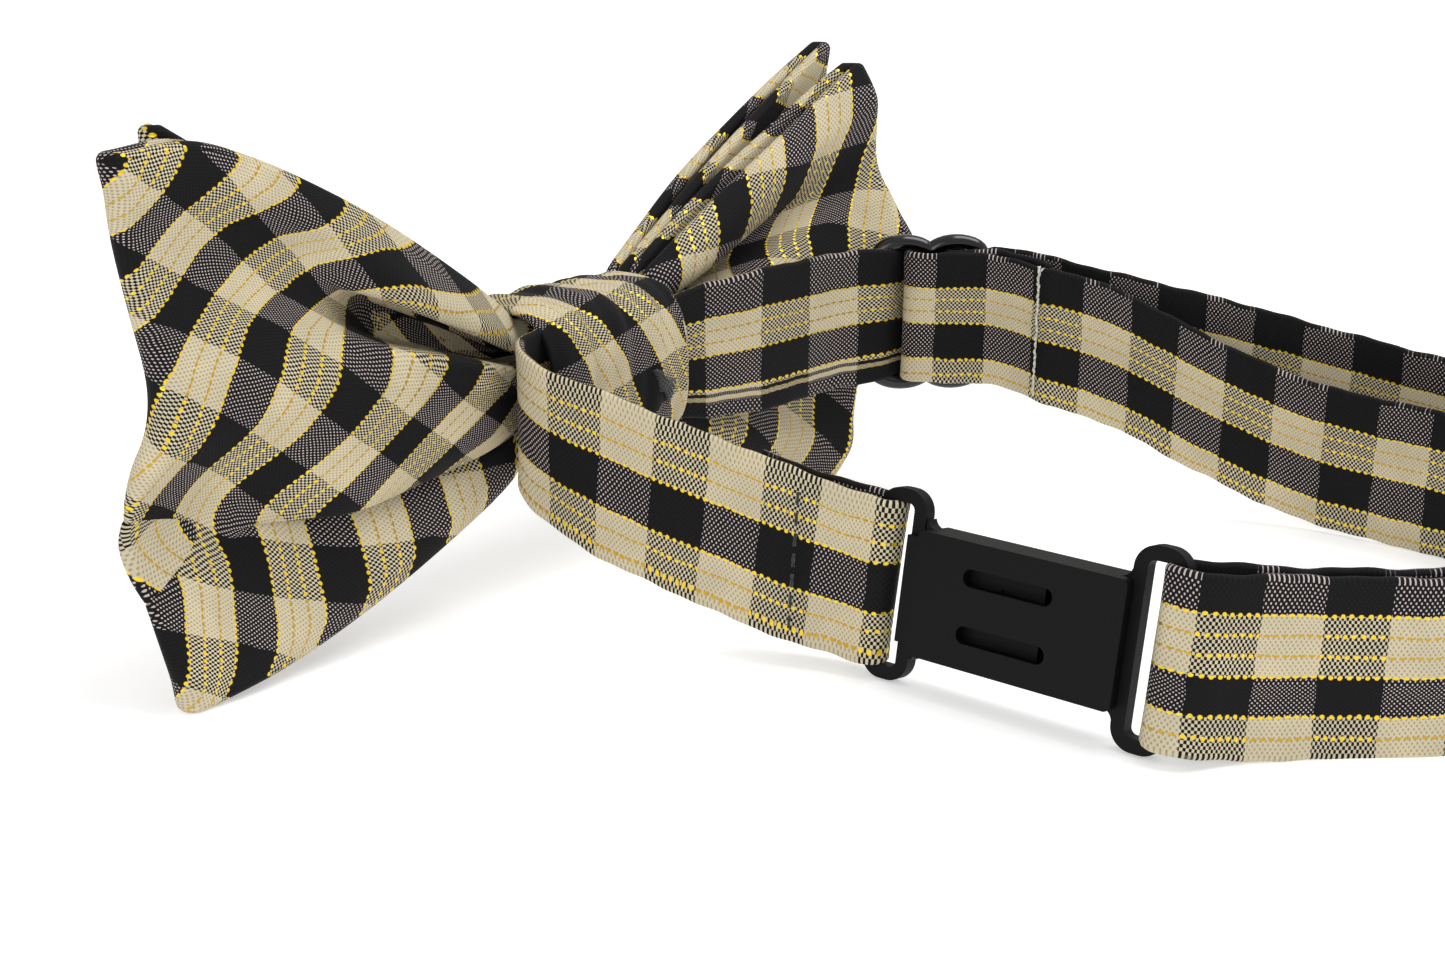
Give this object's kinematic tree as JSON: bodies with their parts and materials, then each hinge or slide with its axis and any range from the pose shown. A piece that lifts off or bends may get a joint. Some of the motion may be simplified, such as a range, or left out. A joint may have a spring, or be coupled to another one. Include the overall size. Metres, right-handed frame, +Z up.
{
  "type": "bow tie",
  "caption": "Ready-tied butterfly bow tie in checked cloth on an adjustable neckband with a slider and a push-together clip.",
  "frame": {"origin": "on the table, straight below the middle of the knot, where the bow stands on its lower wing tips", "axes": "+X along the bow towards the wing on the clip's side, +Y from the bow into the neckband's loop, +Z up"},
  "size_m": [0.1496, 0.1366, 0.0635],
  "materials": {
    "plaid_cloth": "woven black and cream check with gold metallic yarn",
    "interlining": "matt non-woven",
    "black_thread": "twisted thread",
    "white_thread": "twisted thread",
    "clip_plastic": "satin moulded",
    "slider_plastic": "glossy"
  },
  "bodies": {
    "bow_and_band": {"front_bow_loop": "plaid_cloth", "rear_bow_loop": "plaid_cloth", "front_loop_interlining": "interlining", "rear_loop_interlining": "interlining", "binding_thread": "black_thread", "knot_wrap": "plaid_cloth", "knot_tack_stitches": "black_thread", "short_strap": "plaid_cloth", "short_strap_stitching": "black_thread", "clip_male": "clip_plastic", "long_strap_knot_run": "plaid_cloth", "long_strap_outer_run": "plaid_cloth", "long_strap_return_run": "plaid_cloth"},
    "clip_female_half": {"clip_female": "clip_plastic", "long_strap_clip_fold": "plaid_cloth"},
    "slider": {"slider_frame": "slider_plastic", "long_strap_slider_weave": "plaid_cloth", "long_strap_sewn_end": "plaid_cloth", "sewn_end_stitching": "white_thread"}
  },
  "joints": [
    {"name": "clip_release", "type": "slide", "parent": "bow_and_band", "child": "clip_female_half", "axis": [0, 1, 0], "range_m": [0, 0.015], "deforming": ["long_strap_outer_run", "long_strap_return_run"]},
    {"name": "slider_travel", "type": "hinge", "parent": "bow_and_band", "child": "slider", "pos_m": [-0.04, 0.034, 0], "axis": [0, 0, 1], "range_deg": [-12, 30], "deforming": ["long_strap_knot_run", "long_strap_outer_run", "long_strap_return_run"]}
  ]
}
